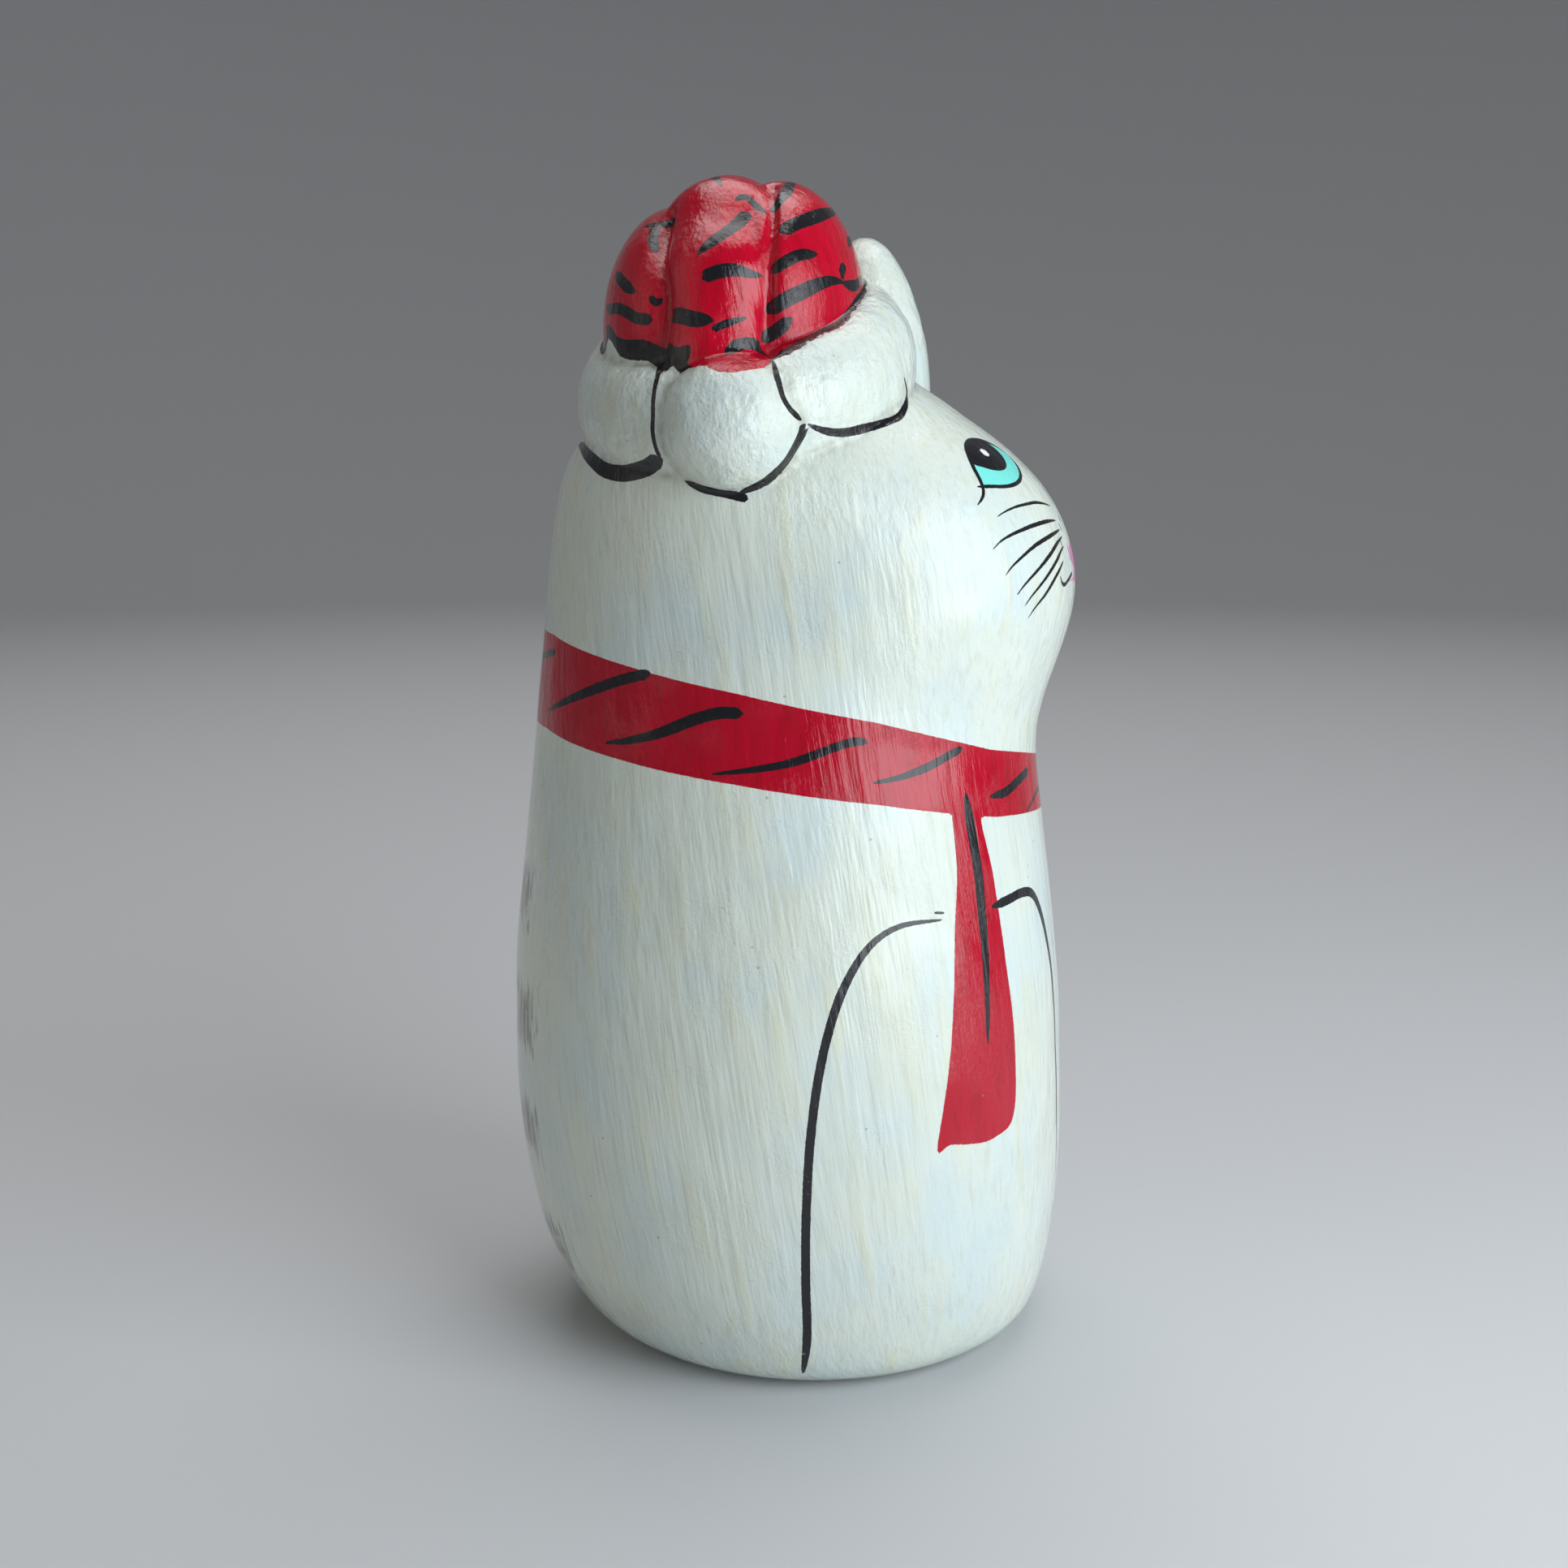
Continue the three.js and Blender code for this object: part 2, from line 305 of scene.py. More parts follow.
def fine_figure():
    rows = rows_of_points()
    starts = np.cumsum([0] + [len(row) for row in rows])
    numbers = [np.arange(a, b) for a, b in zip(starts[:-1], starts[1:])]
    between = [triangles_between(low, high) for low, high in zip(numbers[:-1], numbers[1:])]
    triangles = np.concatenate(between)
    p = relax(np.concatenate(rows), edges_of(triangles)[0], COARSE_PASSES)
    for passes in FINE_PASSES:
        p, triangles = halve(p, triangles)
        p = relax(p, edges_of(triangles)[0], passes)
    p[:, 2] = np.where(p[:, 2] < 0.04, 0, p[:, 2])
    return p, triangles


# Hand-formed unevenness: height in mm, and the size in mm of its lumps, for paper and for the trim.
PAPER_LUMPS = ((0.22, 17.0), (0.09, 6.5))
TRIM_LUMPS = ((0.32, 5.2), (0.14, 2.4))
BASE_FADE = 6.0


def lumps(p, sizes):
    total = np.zeros(len(p))
    for height, size in sizes:
        total += height * np.array([noise.noise(Vector(q)) for q in p / size])
    return total


# Grooves beside the hat's folded tail: places on the hat, depth and half width in mm.
HAT_GROOVES = (
    ([(-32, 54), (-27.5, 43), (-18.5, 24.5), (-15.5, 9.5), (-17, -3)], 0.9, 0.8),
    ([(45, 69), (27, 47), (22.2, 30), (20.8, 16), (20.6, 4), (19.8, -2)], 0.8, 0.7),
)


def groove_depth(p):
    depth = np.zeros(len(p))
    for places, deep, wide in HAT_GROOVES:
        line = smooth_through(on_hat(places))
        away = np.linalg.norm(p[:, None] - line[None], axis=2).min(axis=1)
        depth = np.maximum(depth, deep * np.exp(-np.square(away / wide)))
    return depth


def uneven(p):
    """Moves the points in and out a little, as a hand-formed shell is."""
    slope = slope_of(p)
    normal = slope / np.linalg.norm(slope, axis=1, keepdims=True)
    off_others = np.minimum(head_and_body(p), crown(p)) - trim(p)
    on_trim = np.clip(off_others * 0.8, 0, 1)
    height = lumps(p, PAPER_LUMPS) + on_trim * lumps(p, TRIM_LUMPS)
    height = height * np.clip(p[:, 2] / BASE_FADE, 0, 1) - groove_depth(p)
    return p + normal * height[:, None], normal


# Places on the body are an angle round the upright axis and a height in mm. 0 is the cat's right
# side, 90 its front, 180 its left side and -90 its back. Places on the hat are an angle of the same
# kind and a lift above level, both seen from the hat's middle.
AXIS_Y = 1.0
HAT_MIDDLE = np.array((-4.5, 5.0, 119.0))


def on_body(places):
    turn, height = np.radians([a for a, _ in places]), np.array([z for _, z in places])
    way = np.stack([-np.cos(turn), -np.sin(turn), 0 * turn], 1)
    return thrown_out(np.stack([0 * turn, 0 * turn + AXIS_Y, height], 1), way)


def on_hat(places):
    turn, lift = np.radians([a for a, _ in places]), np.radians([b for _, b in places])
    way = np.stack([-np.cos(turn) * np.cos(lift), -np.sin(turn) * np.cos(lift), np.sin(lift)], 1)
    return thrown_out(np.tile(HAT_MIDDLE, (len(turn), 1)), way)


# Brush strokes. Each is its places, its full width in mm, the share of its length over which each
# end thins out, and the layer that it is in. Strokes that run close together are in other layers.
THIN = 0.55
SOFT = 0.25
BLUNT = 0.04
HAT_STROKES = (
    ([(-4.5, 30), (3, 37), (9, 43), (16, 51)], 1.5, SOFT, BLUNT, 0),
    ([(9, 55), (13, 57), (18, 57), (22, 53), (25, 50)], 1.0, SOFT, SOFT, 1),
    ([(-2, 22), (3, 24), (9, 25), (14, 24.5), (19, 24.5)], 1.6, BLUNT, THIN, 1),
    ([(-15, 11), (-9, 10), (-4, 8.5), (2, 8)], 1.8, SOFT, SOFT, 0),
    ([(2, 5), (6, 7), (10, 8.5), (13, 9.5)], 0.9, BLUNT, THIN, 1),
    ([(6, -2), (10, 0.5), (15, 1), (20, -1.5)], 1.4, SOFT, SOFT, 0),
    ([(-16, 1), (-12, -2.5), (-8, -3), (-5, 0)], 2.2, SOFT, SOFT, 1),
    ([(20.5, 12.5), (26, 15.5), (33, 18.5), (40, 21.5), (48, 24), (57, 25)], 1.7, BLUNT, THIN, 0),
    ([(56, 24.5), (62, 24.5), (70, 25.5), (80, 28), (92, 31)], 1.3, SOFT, THIN, 1),
    ([(22.5, 26), (28, 28.5), (34, 31), (43, 32.5)], 1.4, BLUNT, SOFT, 1),
    ([(20, 3), (24, 6), (29, 10)], 1.5, BLUNT, SOFT, 1),
    ([(28.5, 39.5), (36, 43), (44, 45.5), (54, 48.5), (64, 51), (76, 53), (92, 55)], 1.7, BLUNT, THIN, 0),
    ([(29, 52), (36, 56), (44, 60), (54, 65), (66, 68), (82, 70)], 1.4, BLUNT, THIN, 1),
    ([(56, 27), (59, 30), (62, 31)], 1.2, BLUNT, SOFT, 0),
    ([(74, 40), (82, 43), (94, 44.5)], 1.0, SOFT, THIN, 0),
    ([(-39, 49), (-36, 45), (-32, 40), (-28, 36)], 1.2, BLUNT, SOFT, 0),
    ([(-50, 48.5), (-42, 50), (-35, 50.5), (-30, 54)], 1.1, SOFT, SOFT, 1),
    ([(-50, 29), (-44, 26), (-38, 23), (-31, 19.5)], 1.3, SOFT, SOFT, 1),
    ([(-56, 17), (-48, 15.5), (-41, 15), (-34, 13), (-28, 10.5), (-22, 10)], 1.3, SOFT, BLUNT, 0),
    ([(-24, 18), (-21, 16), (-19, 17.5)], 0.9, SOFT, SOFT, 1),
    ([(-54, 9), (-48, 7.5), (-43, 4), (-38, 2)], 1.3, SOFT, SOFT, 1),
    ([(-26, 78), (-10, 70), (0, 61)], 1.1, SOFT, THIN, 0),
)


def hidden_hat_strokes():
    """The far side of the hat: slanting strokes in loose rows, which carry on from those in sight."""
    made = []
    for row, (lift, shift) in enumerate(((22, 0), (38, 14), (54, 5))):
        for k in range(5):
            turn = 112 + 34 * k + shift
            lean = 7 * (-1) ** (k + row)
            places = [(turn - 11, lift - lean), (turn, lift + 1.5), (turn + 11, lift + lean)]
            made.append((places, 1.5, BLUNT, SOFT, (k + row) % 2))
    made.append(([(150, 72), (190, 78), (230, 74)], 1.2, SOFT, SOFT, 0))
    made.append(([(-100, 70), (-70, 66), (-50, 68)], 1.1, SOFT, SOFT, 0))
    return made


# Lines where the trim's rolls and the bobble meet each other and the head.
TRIM_LINES = (
    ([(-82, -28.6), (-70, -29.7), (-60, -31.1), (-50, -32.6), (-40, -34.1), (-30, -34.4), (-21, -32.8),
      (-16, -30.4), (-13, -29.2)], 1.9, 0.75, BLUNT, 0),
    ([(-17.5, -6.5), (-15.4, -9), (-14.9, -13), (-14.8, -18), (-15, -22), (-14, -27), (-13.2, -29.5)],
     0.6, 0.1, 0.05, 1),
    ([(-6, -34.2), (0, -34.9), (6, -35.2), (12.4, -35.6)], 1.0, 0.3, BLUNT, 1),
    ([(10, -34.9), (14, -33.2), (18.5, -30.6), (22, -28), (25, -24.4), (26.8, -21), (27.5, -19.2)],
     1.5, 0.45, BLUNT, 0),
    ([(19.8, -4), (20.2, -8), (21, -12), (23, -15.2), (26.5, -18.2)], 0.85, 0.3, 0.1, 1),
    ([(28.5, -19.4), (33, -21), (38, -22), (43, -21.9), (49, -21), (56, -19.8), (63, -18), (69, -15.6),
      (72.5, -13), (72, -10.5), (69, -7.5)], 0.95, 0.15, 0.35, 0),
)

# Lower edge of the hat's red as lift by angle, and how far black runs up from it in mm by angle.
RED_EDGE = (
    (-60, 9), (-52, 6), (-45, 3), (-40, -1.5), (-35, -3.5), (-25, -4), (-20, -6), (-15, -8), (-13, -7.5),
    (-10.5, -5.5), (-8, -8), (-5, -6.5), (0, -5.5), (5, -6.5), (10, -6.5), (18, -5.5), (20, -4), (25, -2),
    (30, 0.5), (40, 5), (50, 9), (60, 14.5), (70, 19), (80, 23), (90, 26.5), (100, 29),
)
BLACK_BAND = (
    (-180, 0.8), (-60, 0.9), (-50, 1.3), (-36, 2.2), (-16, 2.3), (-8, 2.0), (-5, 0.4), (-3, 0), (18, 0),
    (21, 0.55), (60, 0.55), (71, 0.85), (80, 0.6), (180, 0.8),
)
EDGE_SEEN = (-60, -50, 92, 104)

SCARF_STROKES = (
    ([(-86, 82), (-76, 83.2), (-67, 84.2), (-58, 85)], 0.9, THIN, BLUNT, 0),
    ([(-60, 78), (-50, 79.7), (-40, 81.4), (-30, 83), (-22, 84)], 1.25, THIN, BLUNT, 0),
    ([(-34, 75.8), (-27, 76.4), (-19, 77.5), (-10, 79.3), (-4, 80.1), (1, 80.1)], 1.35, THIN, BLUNT, 0),
    ([(-6, 73.4), (4, 74.1), (12, 74.9), (20, 76.3), (25, 77), (28, 76.9)], 1.0, THIN, BLUNT, 0),
    ([(29, 72.4), (35, 72.8), (42, 73.7), (47, 74.7), (51, 75.4)], 1.0, THIN, BLUNT, 0),
    ([(59, 69.4), (65, 69.5), (71, 70.3), (77.5, 71)], 1.15, SOFT, BLUNT, 0),
    ([(73, 66.4), (80, 67.4), (85, 67.9), (90, 67.6), (96, 67)], 0.6, THIN, SOFT, 0),
    ([(96, 69.2), (103, 70.2), (109, 71.8), (113, 72.6)], 1.1, THIN, BLUNT, 0),
    ([(112, 68.4), (120, 69.2), (128, 71.3), (135, 74)], 1.1, THIN, BLUNT, 0),
    ([(133, 71), (141, 72), (149, 74.4), (156, 77.4)], 1.1, THIN, BLUNT, 0),
    ([(154, 73.2), (163, 74.4), (172, 76.8), (180, 80)], 1.2, THIN, BLUNT, 0),
    ([(178, 74.2), (188, 75.8), (198, 78.6), (206, 82)], 1.2, THIN, BLUNT, 0),
    ([(204, 76), (214, 77.6), (224, 80.4), (233, 84)], 1.2, THIN, BLUNT, 0),
    ([(230, 77.4), (240, 78.8), (250, 81.4), (259, 84.6)], 1.1, THIN, BLUNT, 0),
)
TAIL_FOLD = ([(51.6, 70.4), (52.4, 64), (53, 58), (53.2, 50), (52.6, 41.6)], 1.4, 0.1, THIN, 1)

LEG_LINES = (
    ([(14.5, 3), (14.8, 9), (14.2, 16), (14.1, 24), (14.8, 33), (16.6, 41), (19.6, 47.6), (23.4, 52.2),
      (28, 55.2), (34, 56.7), (43, 56.8)], 1.05, 0.08, 0.25, 1),
    ([(41, 57.7), (43.5, 57.5)], 0.35, SOFT, SOFT, 0),
    ([(56, 57.1), (62, 57.4), (67, 57.6), (71.5, 57), (75, 54.8), (78, 51), (80, 46.5), (81.6, 40), (82.6, 30),
      (83.2, 20)], 1.15, 0.04, 0.85, 1),
)
LEFT_LEG_LINES = (
    ([(165.5, 3), (165.2, 9), (165.8, 16), (165.9, 24), (165.2, 33), (163.4, 41), (160.4, 47.6), (156.6, 52.2),
      (152, 55.2), (146, 56.8), (136, 57.6), (124, 58.2), (114, 58), (108.5, 57), (105, 54.8), (102, 51),
      (100, 46.5), (98.4, 40), (97.4, 30), (96.8, 20)], 1.05, 0.05, 0.5, 1),
)

# Face lines, on the cat's right. The left side's are the same, mirrored.
WHISKERS = (
    ([(57.5, 100.8), (60, 101.3), (64, 101.8), (69, 102.1), (74, 102.2), (81, 101.7)], 0.42, THIN, SOFT, 0),
    ([(54, 97.4), (57, 98.4), (62, 99.2), (68, 99.8), (74, 100.1), (79.5, 100.1)], 0.52, THIN, SOFT, 1),
    ([(56, 94.5), (58, 95.5), (62, 96.7), (66, 97.6), (71, 98.3), (80, 99.1)], 0.52, THIN, SOFT, 0),
    ([(58.7, 92.2), (61, 93.4), (65, 94.8), (70, 96.3), (75, 97.6), (79.8, 98.3)], 0.52, THIN, SOFT, 1),
    ([(61, 90.8), (63, 92), (67, 93.6), (72, 95.4), (76.5, 96.8), (79, 97.2)], 0.5, THIN, SOFT, 0),
    ([(62.7, 89.5), (64.5, 90.7), (68, 92.2), (72, 94), (76.8, 95.7)], 0.5, THIN, SOFT, 1),
)
EYE_LINES = (
    ([(88 - 9, 107.5), (77, 108.4), (73, 109), (68, 109.15), (64.5, 108.85), (61.5, 108.1), (59.6, 106.9),
      (58.7, 105.8), (58.3, 104.7), (57.6, 103.7), (56.4, 103), (55, 102.5), (53.8, 102.1)], 0.62, 0.2, 0.25, 2),
    ([(56.3, 104.08), (60, 104.1), (65, 104.03), (69, 104.25), (73, 104.75), (76.5, 105.6), (78.6, 106.6),
      (79, 107.5)], 0.52, 0.1, 0.1, 3),
)
MOUTH = (
    ([(74, 94), (74.8, 93.2), (76.2, 92.9), (79, 93.4), (82.5, 94.1)], 0.5, SOFT, 0.1, 2),
    ([(84, 100.7), (84.4, 100.2), (84.8, 99.6)], 0.3, SOFT, SOFT, 3),
    ([(80.8, 99.9), (81, 99.4), (81.4, 98.8)], 0.3, SOFT, SOFT, 3),
    ([(77.6, 98), (77.8, 97.4), (78, 96.8)], 0.3, SOFT, SOFT, 3),
    ([(82.6, 97.6), (82.2, 96.4), (82.4, 95.2)], 0.3, SOFT, SOFT, 3),
    ([(81, 107.4), (84, 105.8), (85.4, 104.2), (86, 102.6), (86, 101.4)], 0.3, THIN, SOFT, 2),
)
EYE_OUTLINE = [(57.9, 104.1), (63, 104.05), (68, 104.15), (73, 104.75), (76.5, 105.6), (78.6, 106.6), (79, 107.5),
               (77, 108.4), (73, 109), (68, 109.15), (64.5, 108.85), (61.5, 108.1), (59.6, 106.9), (58.7, 105.8)]
PUPIL = [(59.4, 106.6), (62, 106.1), (65, 105.75), (68.5, 105.75), (71.5, 106.15), (73.8, 106.9), (74.9, 107.8),
         (74.2, 108.7), (72, 109.1), (68, 109.3), (64, 109.1), (60.5, 108.2)]
GLINT = ((67.4, 107.7), (1.35, 0.42))
NOSE = [(84, 97.2), (90, 97.6), (96, 97.2), (97.4, 95.6), (94.6, 94), (101, 93.2), (93.5, 92.8), (90, 91.9),
        (86.5, 92.8), (79, 93.2), (85.4, 94), (82.6, 95.6)]
FACE_MM_A_DEGREE = 0.44
NOSE_MM_A_DEGREE = 0.6

# Scarf: heights of its top and bottom edges by angle, the same on both sides, and its hanging end.
SCARF_ANGLES = (-90, -60, -30, 0, 30, 60, 90)
SCARF_TOP = (87.3, 86.9, 84.7, 82.2, 79.0, 74.7, 71.9)
SCARF_BOTTOM = (76.1, 75.9, 74.2, 72.3, 70.0, 67.0, 65.4)
SCARF_END = [(48, 70), (47.2, 62), (45.6, 55), (44.6, 48), (43.5, 42), (41.6, 35), (40.4, 30.2), (43, 30.9),
             (47, 30.5), (52, 30.1), (56, 30.4), (59, 31), (60.4, 32.6), (60.9, 36), (60.6, 41), (59.7, 47),
             (58.6, 54), (57.3, 60), (55.4, 66), (54.5, 70)]
BODY_MM_A_DEGREE = 0.57

# Tabby bars across the back: lowest and highest point, and how far round from the back they reach.
TABBY_BARS = ((8, 16.5, 42), (23.5, 30.5, 36), (36.5, 45.5, 36), (51.5, 59, 29))

LAYERS = 4
NEAR_STROKE = 3.0


def smooth_through(points, step=0.5):
    """A smooth line through the points, with a place about every step mm."""
    p = np.concatenate([[2 * points[0] - points[1]], points, [2 * points[-1] - points[-2]]])
    out = []
    for a, b, c, d in zip(p[:-3], p[1:-2], p[2:-1], p[3:]):
        t = np.linspace(0, 1, max(int(np.linalg.norm(c - b) / step), 2), endpoint=False)[:, None]
        out.append(((2 * b) + (c - a) * t + (2 * a - 5 * b + 4 * c - d) * t ** 2
                    + (3 * b - a - 3 * c + d) * t ** 3) / 2)
    return np.concatenate(out + [points[-1:]])


class Painter:
    """Holds, for each layer, every point's place beside its nearest stroke."""

    def __init__(self, points, normals):
        self.points = points
        self.normals = normals
        count = len(points)
        self.across = np.full((LAYERS, count), NEAR_STROKE)
        self.beyond = np.zeros((LAYERS, count))
        self.half = np.zeros((LAYERS, count))
        self.away = np.full((LAYERS, count), NEAR_STROKE)

    def stroke(self, line, width, thin_start, thin_end, layer, allowed=None):
        line = settle(smooth_through(line))
        low, high = line.min(0) - NEAR_STROKE, line.max(0) + NEAR_STROKE
        inside = ((self.points > low) & (self.points < high)).all(1)
        near = np.nonzero(inside if allowed is None else inside & allowed)[0]
        p = self.points[near]
        run = line[1:] - line[:-1]
        length = np.linalg.norm(run, axis=1)
        t = np.einsum("pjk,jk->pj", p[:, None] - line[None, :-1], run) / length ** 2
        held = np.clip(t, 0, 1)
        off = p[:, None] - line[None, :-1] - held[..., None] * run
        which = np.einsum("pjk,pjk->pj", off, off).argmin(1)
        rows = np.arange(len(p))
        away = np.linalg.norm(off[rows, which], axis=1)
        along = run[which] / length[which, None]
        side = np.cross(self.normals[near], along)
        across = (off[rows, which] * side).sum(1) / (np.linalg.norm(side, axis=1) + 1e-9)
        beyond = np.abs((off[rows, which] * along).sum(1))
        start = np.concatenate([[0], np.cumsum(length)])
        share = (start[which] + held[rows, which] * length[which]) / start[-1]
        taper = np.minimum(np.clip(share / thin_start, 0, 1), np.clip((1 - share) / thin_end, 0, 1))
        keep = away < self.away[layer, near]
        kept = near[keep]
        self.away[layer, kept] = away[keep]
        self.across[layer, kept] = across[keep]
        self.beyond[layer, kept] = beyond[keep]
        self.half[layer, kept] = (width / 2 * np.sqrt(taper) * 0.9 + width * 0.05)[keep]


def mirrored(places):
    return [(180 - a, z) for a, z in places]


def paint_strokes(points, normals):
    painter = Painter(points, normals)
    on_red = red_of_hat(points)[0] > 0
    for places, width, thin_start, thin_end, layer in (*HAT_STROKES, *hidden_hat_strokes()):
        painter.stroke(on_hat(places), width, thin_start, thin_end, layer, on_red)
    for place, strokes in (
        (on_hat, TRIM_LINES),
        (on_body, SCARF_STROKES), (on_body, (TAIL_FOLD,)), (on_body, LEG_LINES), (on_body, LEFT_LEG_LINES),
        (on_body, WHISKERS), (on_body, EYE_LINES), (on_body, MOUTH),
    ):
        for places, width, thin_start, thin_end, layer in strokes:
            painter.stroke(place(places), width, thin_start, thin_end, layer)
    for places, width, thin_start, thin_end, layer in (*WHISKERS, *EYE_LINES, *MOUTH):
        painter.stroke(on_body(mirrored(places)), width, thin_start, thin_end, layer)
    return painter


def inside_polygon(u, v, corners):
    """Distance in from a closed outline, negative outside it."""
    near, inside = np.full(len(u), 1e3), np.zeros(len(u), bool)
    for (x0, y0), (x1, y1) in zip(corners, corners[1:] + corners[:1]):
        dx, dy = x1 - x0, y1 - y0
        t = np.clip(((u - x0) * dx + (v - y0) * dy) / (dx * dx + dy * dy), 0, 1)
        near = np.minimum(near, np.hypot(u - x0 - t * dx, v - y0 - t * dy))
        crosses = (y0 > v) != (y1 > v)
        inside ^= crosses & (u < dx * (v - y0) / (dy if dy else 1e-9) + x0)
    return np.where(inside, near, -near)


def rounded_outline(corners):
    closed = np.array(corners + corners[:3], float)
    out = []
    for a, b, c, d in zip(closed[:-3], closed[1:-2], closed[2:-1], closed[3:]):
        for t in (0, 0.34, 0.67):
            out.append(tuple(((2 * b) + (c - a) * t + (2 * a - 5 * b + 4 * c - d) * t ** 2
                              + (3 * b - a - 3 * c + d) * t ** 3) / 2))
    return out


def areas(p):
    """Distances in from the edges of the painted areas, in mm."""
    angle = np.degrees(np.arctan2(-(p[:, 1] - AXIS_Y), -p[:, 0]))
    angle = np.where(angle < -90, angle + 360, angle)
    same_side = np.where(angle > 90, 180 - angle, angle)
    z = p[:, 2]
    top = np.interp(same_side, SCARF_ANGLES, SCARF_TOP)
    bottom = np.interp(same_side, SCARF_ANGLES, SCARF_BOTTOM)
    band = np.minimum(top - z, z - bottom)

    def shape(corners, turn, scale):
        scaled = [(a * scale, b) for a, b in rounded_outline(corners)]
        return inside_polygon(turn * scale, z, scaled)

    on_head = np.minimum(crown(p), trim(p)) - head_and_body(p)
    red, band_up = red_of_hat(p)
    scarf = np.maximum(band, shape(SCARF_END, angle, BODY_MM_A_DEGREE))
    eye = shape(EYE_OUTLINE, same_side, FACE_MM_A_DEGREE)
    pupil = np.minimum(shape(PUPIL, same_side, FACE_MM_A_DEGREE), eye + 0.15)
    (glint_at, glint_z), (glint_wide, glint_tall) = GLINT
    glint = (1 - np.hypot((same_side - glint_at) / glint_wide, (z - glint_z) / glint_tall)) * glint_tall
    nose = shape(NOSE, angle, NOSE_MM_A_DEGREE)
    from_back = np.degrees(np.arctan2(np.abs(p[:, 0]), p[:, 1] - AXIS_Y))
    bars = np.full(len(p), -20.0)
    for low, high, reach in TABBY_BARS:
        across = (reach - from_back) * BODY_MM_A_DEGREE
        bars = np.maximum(bars, np.minimum(np.minimum(z - low, high - z), across))
    far = -9.0
    off_front = (on_head < 0.0) | (p[:, 1] > 0)
    return {
        "red_hat": np.clip(red, -6, 6),
        "black_band": band_up,
        "trim": np.clip(np.minimum(head_and_body(p), crown(p)) - trim(p), -6, 6),
        "scarf": np.clip(scarf, -6, 6),
        "eye": np.where(off_front, far, np.clip(eye, -6, 6)),
        "pupil": np.where(off_front, far, np.clip(pupil, -6, 6)),
        "glint": np.where(off_front, far, np.clip(glint, -6, 6)),
        "nose": np.where(off_front, far, np.clip(nose, -6, 6)),
        "tabby": np.clip(bars, -6, 6),
        "crease": figure_crease(p),
    }


def red_of_hat(p):
    """How far each point is up from the red's lower edge, and how far black runs up there, in mm."""
    x, y, z = (p - HAT_MIDDLE).T
    turn, lift = np.degrees(np.arctan2(-y, -x)), np.degrees(np.arctan2(z, np.hypot(x, y)))
    edge = np.interp(turn, *zip(*RED_EDGE))
    measured = np.radians(lift - edge) * np.sqrt(x * x + y * y + z * z)
    seen = np.interp(turn, EDGE_SEEN, (0, 1, 1, 0))
    red = seen * measured + (1 - seen) * (trim(p) - crown(p) + 0.4)
    hat = np.minimum(crown(p), trim(p))
    off_hat = np.minimum(head_and_body(p), rounded(EAR, p)) - hat
    return np.minimum(red, off_hat), np.interp(turn, *zip(*BLACK_BAND))


def figure_crease(p):
    """How close each point is to the bottom of a crease between two forms, from 0 to 1. The material paints shade
    into these creases.
    """
    forms = np.stack([head_and_body(p), trim_roll(TRIM_FRONT, p), trim_roll(TRIM_BACK, p), rounded(BOBBLE, p),
                      rounded(CROWN_FRONT, p), rounded(CROWN_BACK, p), folded_tail(p), rounded(EAR, p)])
    nearest = np.sort(forms, axis=0)[:2]
    return np.clip(1 - (nearest[1] - nearest[0]) / 1.6, 0, 1)


def make_cat():
    p, triangles = fine_figure()
    moved, normals = uneven(p)
    mesh = bpy.data.meshes.new("papier_mache_cat_painted")
    mesh.from_pydata((moved * MM).tolist(), [], triangles.tolist())
    mesh.polygons.foreach_set("use_smooth", np.ones(len(triangles), bool))
    painter = paint_strokes(p, normals)
    for layer in range(LAYERS):
        values = np.stack([painter.across[layer], painter.beyond[layer], painter.half[layer]], 1)
        made = mesh.attributes.new(f"stroke_{layer}", "FLOAT_VECTOR", "POINT")
        made.data.foreach_set("vector", values.astype(np.float32).ravel())
        add_number(mesh, f"away_{layer}", painter.away[layer])
    for name, values in areas(p).items():
        add_number(mesh, name, values)
    mesh.update()
    cat = bpy.data.objects.new("papier_mache_cat_painted", mesh)
    bpy.context.scene.collection.objects.link(cat)
    return cat


def add_number(mesh, name, values):
    made = mesh.attributes.new(name, "FLOAT", "POINT")
    made.data.foreach_set("value", values.astype(np.float32))


# Paint colours, as linear light.
WHITE = (0.70, 0.755, 0.68)
WHITE_COOL = (0.61, 0.73, 0.75)
WHITE_WARM = (0.70, 0.71, 0.52)
# Painted shade: a darker olive laid into the creases between forms.
CREASE_PAINTED_SHADE = (0.30, 0.29, 0.21)
HAT_RED = (0.52, 0.0, 0.020)
HAT_RED_DEEP = (0.38, 0.0, 0.010)
SCARF_RED = (0.46, 0.0, 0.018)
SCARF_RED_DEEP = (0.33, 0.0, 0.008)
BLACK = (0.010, 0.010, 0.013)
TABBY_GREY = (0.115, 0.12, 0.10)
TURQUOISE = (0.20, 0.78, 0.70)
PINK = (0.80, 0.24, 0.52)
SPECK = (0.16, 0.14, 0.09)


